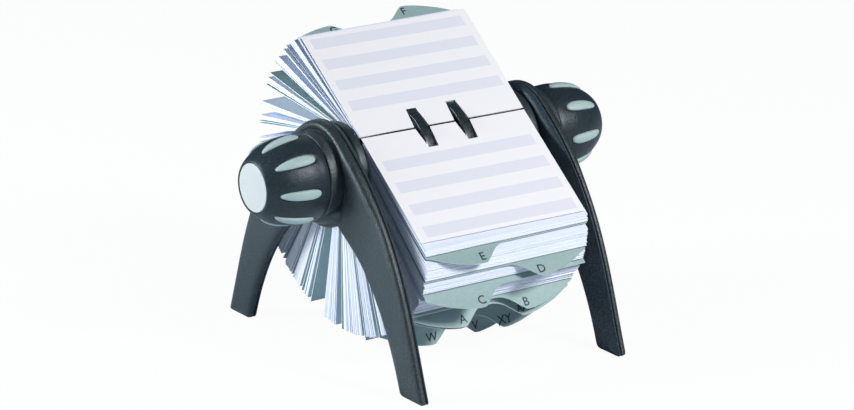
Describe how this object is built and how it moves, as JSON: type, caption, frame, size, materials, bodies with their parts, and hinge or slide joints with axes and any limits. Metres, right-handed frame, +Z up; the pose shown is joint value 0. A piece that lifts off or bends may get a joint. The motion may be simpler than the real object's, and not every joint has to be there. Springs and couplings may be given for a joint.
{
  "type": "rotary card file",
  "caption": "Desktop rotary card file: two black arched stands, a turning rotor with knobs, notched cards and A to Z dividers hung on two rails, and an open pair of cards.",
  "frame": {"origin": "middle of the bounding box in plan, on the desk surface the feet stand on", "axes": "+X along the axle, towards the right when facing the open cards; +Y from the front, where the lower open card lies, to the rear; +Z up"},
  "size_m": [0.218, 0.1864, 0.1686],
  "materials": {
    "black_plastic": "fine grained charcoal black, satin",
    "rail_plastic": "glossy black",
    "grip_rubber": "soft matt grey green",
    "disc_plastic": "smooth pale blue grey",
    "axle_steel": "drawn, bright",
    "divider_plastic": "translucent grey green sheet",
    "card_paper": "uncoated white card"
  },
  "bodies": {
    "stand": {"stand_left_shell": "black_plastic", "stand_left_cover": "black_plastic", "stand_right_shell": "black_plastic", "stand_right_cover": "black_plastic"},
    "rotor": {"rail_drum": "rail_plastic", "axle": "axle_steel", "flange_left": "black_plastic", "flange_right": "black_plastic", "knob_left": "black_plastic", "knob_right": "black_plastic", "knob_grip_left": "grip_rubber", "knob_grip_right": "grip_rubber", "knob_disc_left": "disc_plastic", "knob_disc_right": "disc_plastic", "divider_F": "divider_plastic", "divider_G": "divider_plastic", "divider_H": "divider_plastic", "divider_I": "divider_plastic", "divider_J": "divider_plastic", "divider_K": "divider_plastic", "divider_L": "divider_plastic", "divider_M": "divider_plastic", "divider_N": "divider_plastic", "divider_O": "divider_plastic", "divider_P": "divider_plastic", "divider_Q": "divider_plastic", "divider_R": "divider_plastic", "divider_S": "divider_plastic", "divider_T": "divider_plastic", "divider_U": "divider_plastic", "divider_V": "divider_plastic", "divider_W": "divider_plastic", "divider_XY": "divider_plastic", "divider_Z": "divider_plastic", "divider_A": "divider_plastic", "divider_B": "divider_plastic", "divider_C": "divider_plastic", "divider_D": "divider_plastic", "divider_E": "divider_plastic", "cards_F_G": "card_paper", "cards_G_H_upper": "card_paper", "cards_G_H_lower": "card_paper", "cards_H_I": "card_paper", "cards_I_J_upper": "card_paper", "cards_I_J_lower": "card_paper", "cards_J_K": "card_paper", "cards_P_Q": "card_paper", "cards_Q_R": "card_paper", "cards_R_S": "card_paper", "cards_S_T": "card_paper", "cards_T_U": "card_paper", "cards_U_V": "card_paper", "cards_V_W": "card_paper", "cards_W_XY": "card_paper", "cards_B_C": "card_paper", "cards_C_D": "card_paper", "cards_D_E": "card_paper", "cards_E_front": "card_paper"},
    "upper_card": {"open_card_upper": "card_paper"},
    "lower_card": {"open_card_lower": "card_paper"}
  },
  "joints": [
    {"name": "turn", "type": "hinge", "parent": "stand", "child": "rotor", "pos_m": [0, 0, 0.102], "axis": [1, 0, 0], "continuous": true},
    {"name": "flip_upper", "type": "hinge", "parent": "rotor", "child": "upper_card", "pos_m": [0, -0.01691, 0.12236], "axis": [1, 0, 0], "range_deg": [0, 178]},
    {"name": "flip_lower", "type": "hinge", "parent": "rotor", "child": "lower_card", "pos_m": [0, -0.01691, 0.12236], "axis": [1, 0, 0], "range_deg": [-178, 0]}
  ]
}
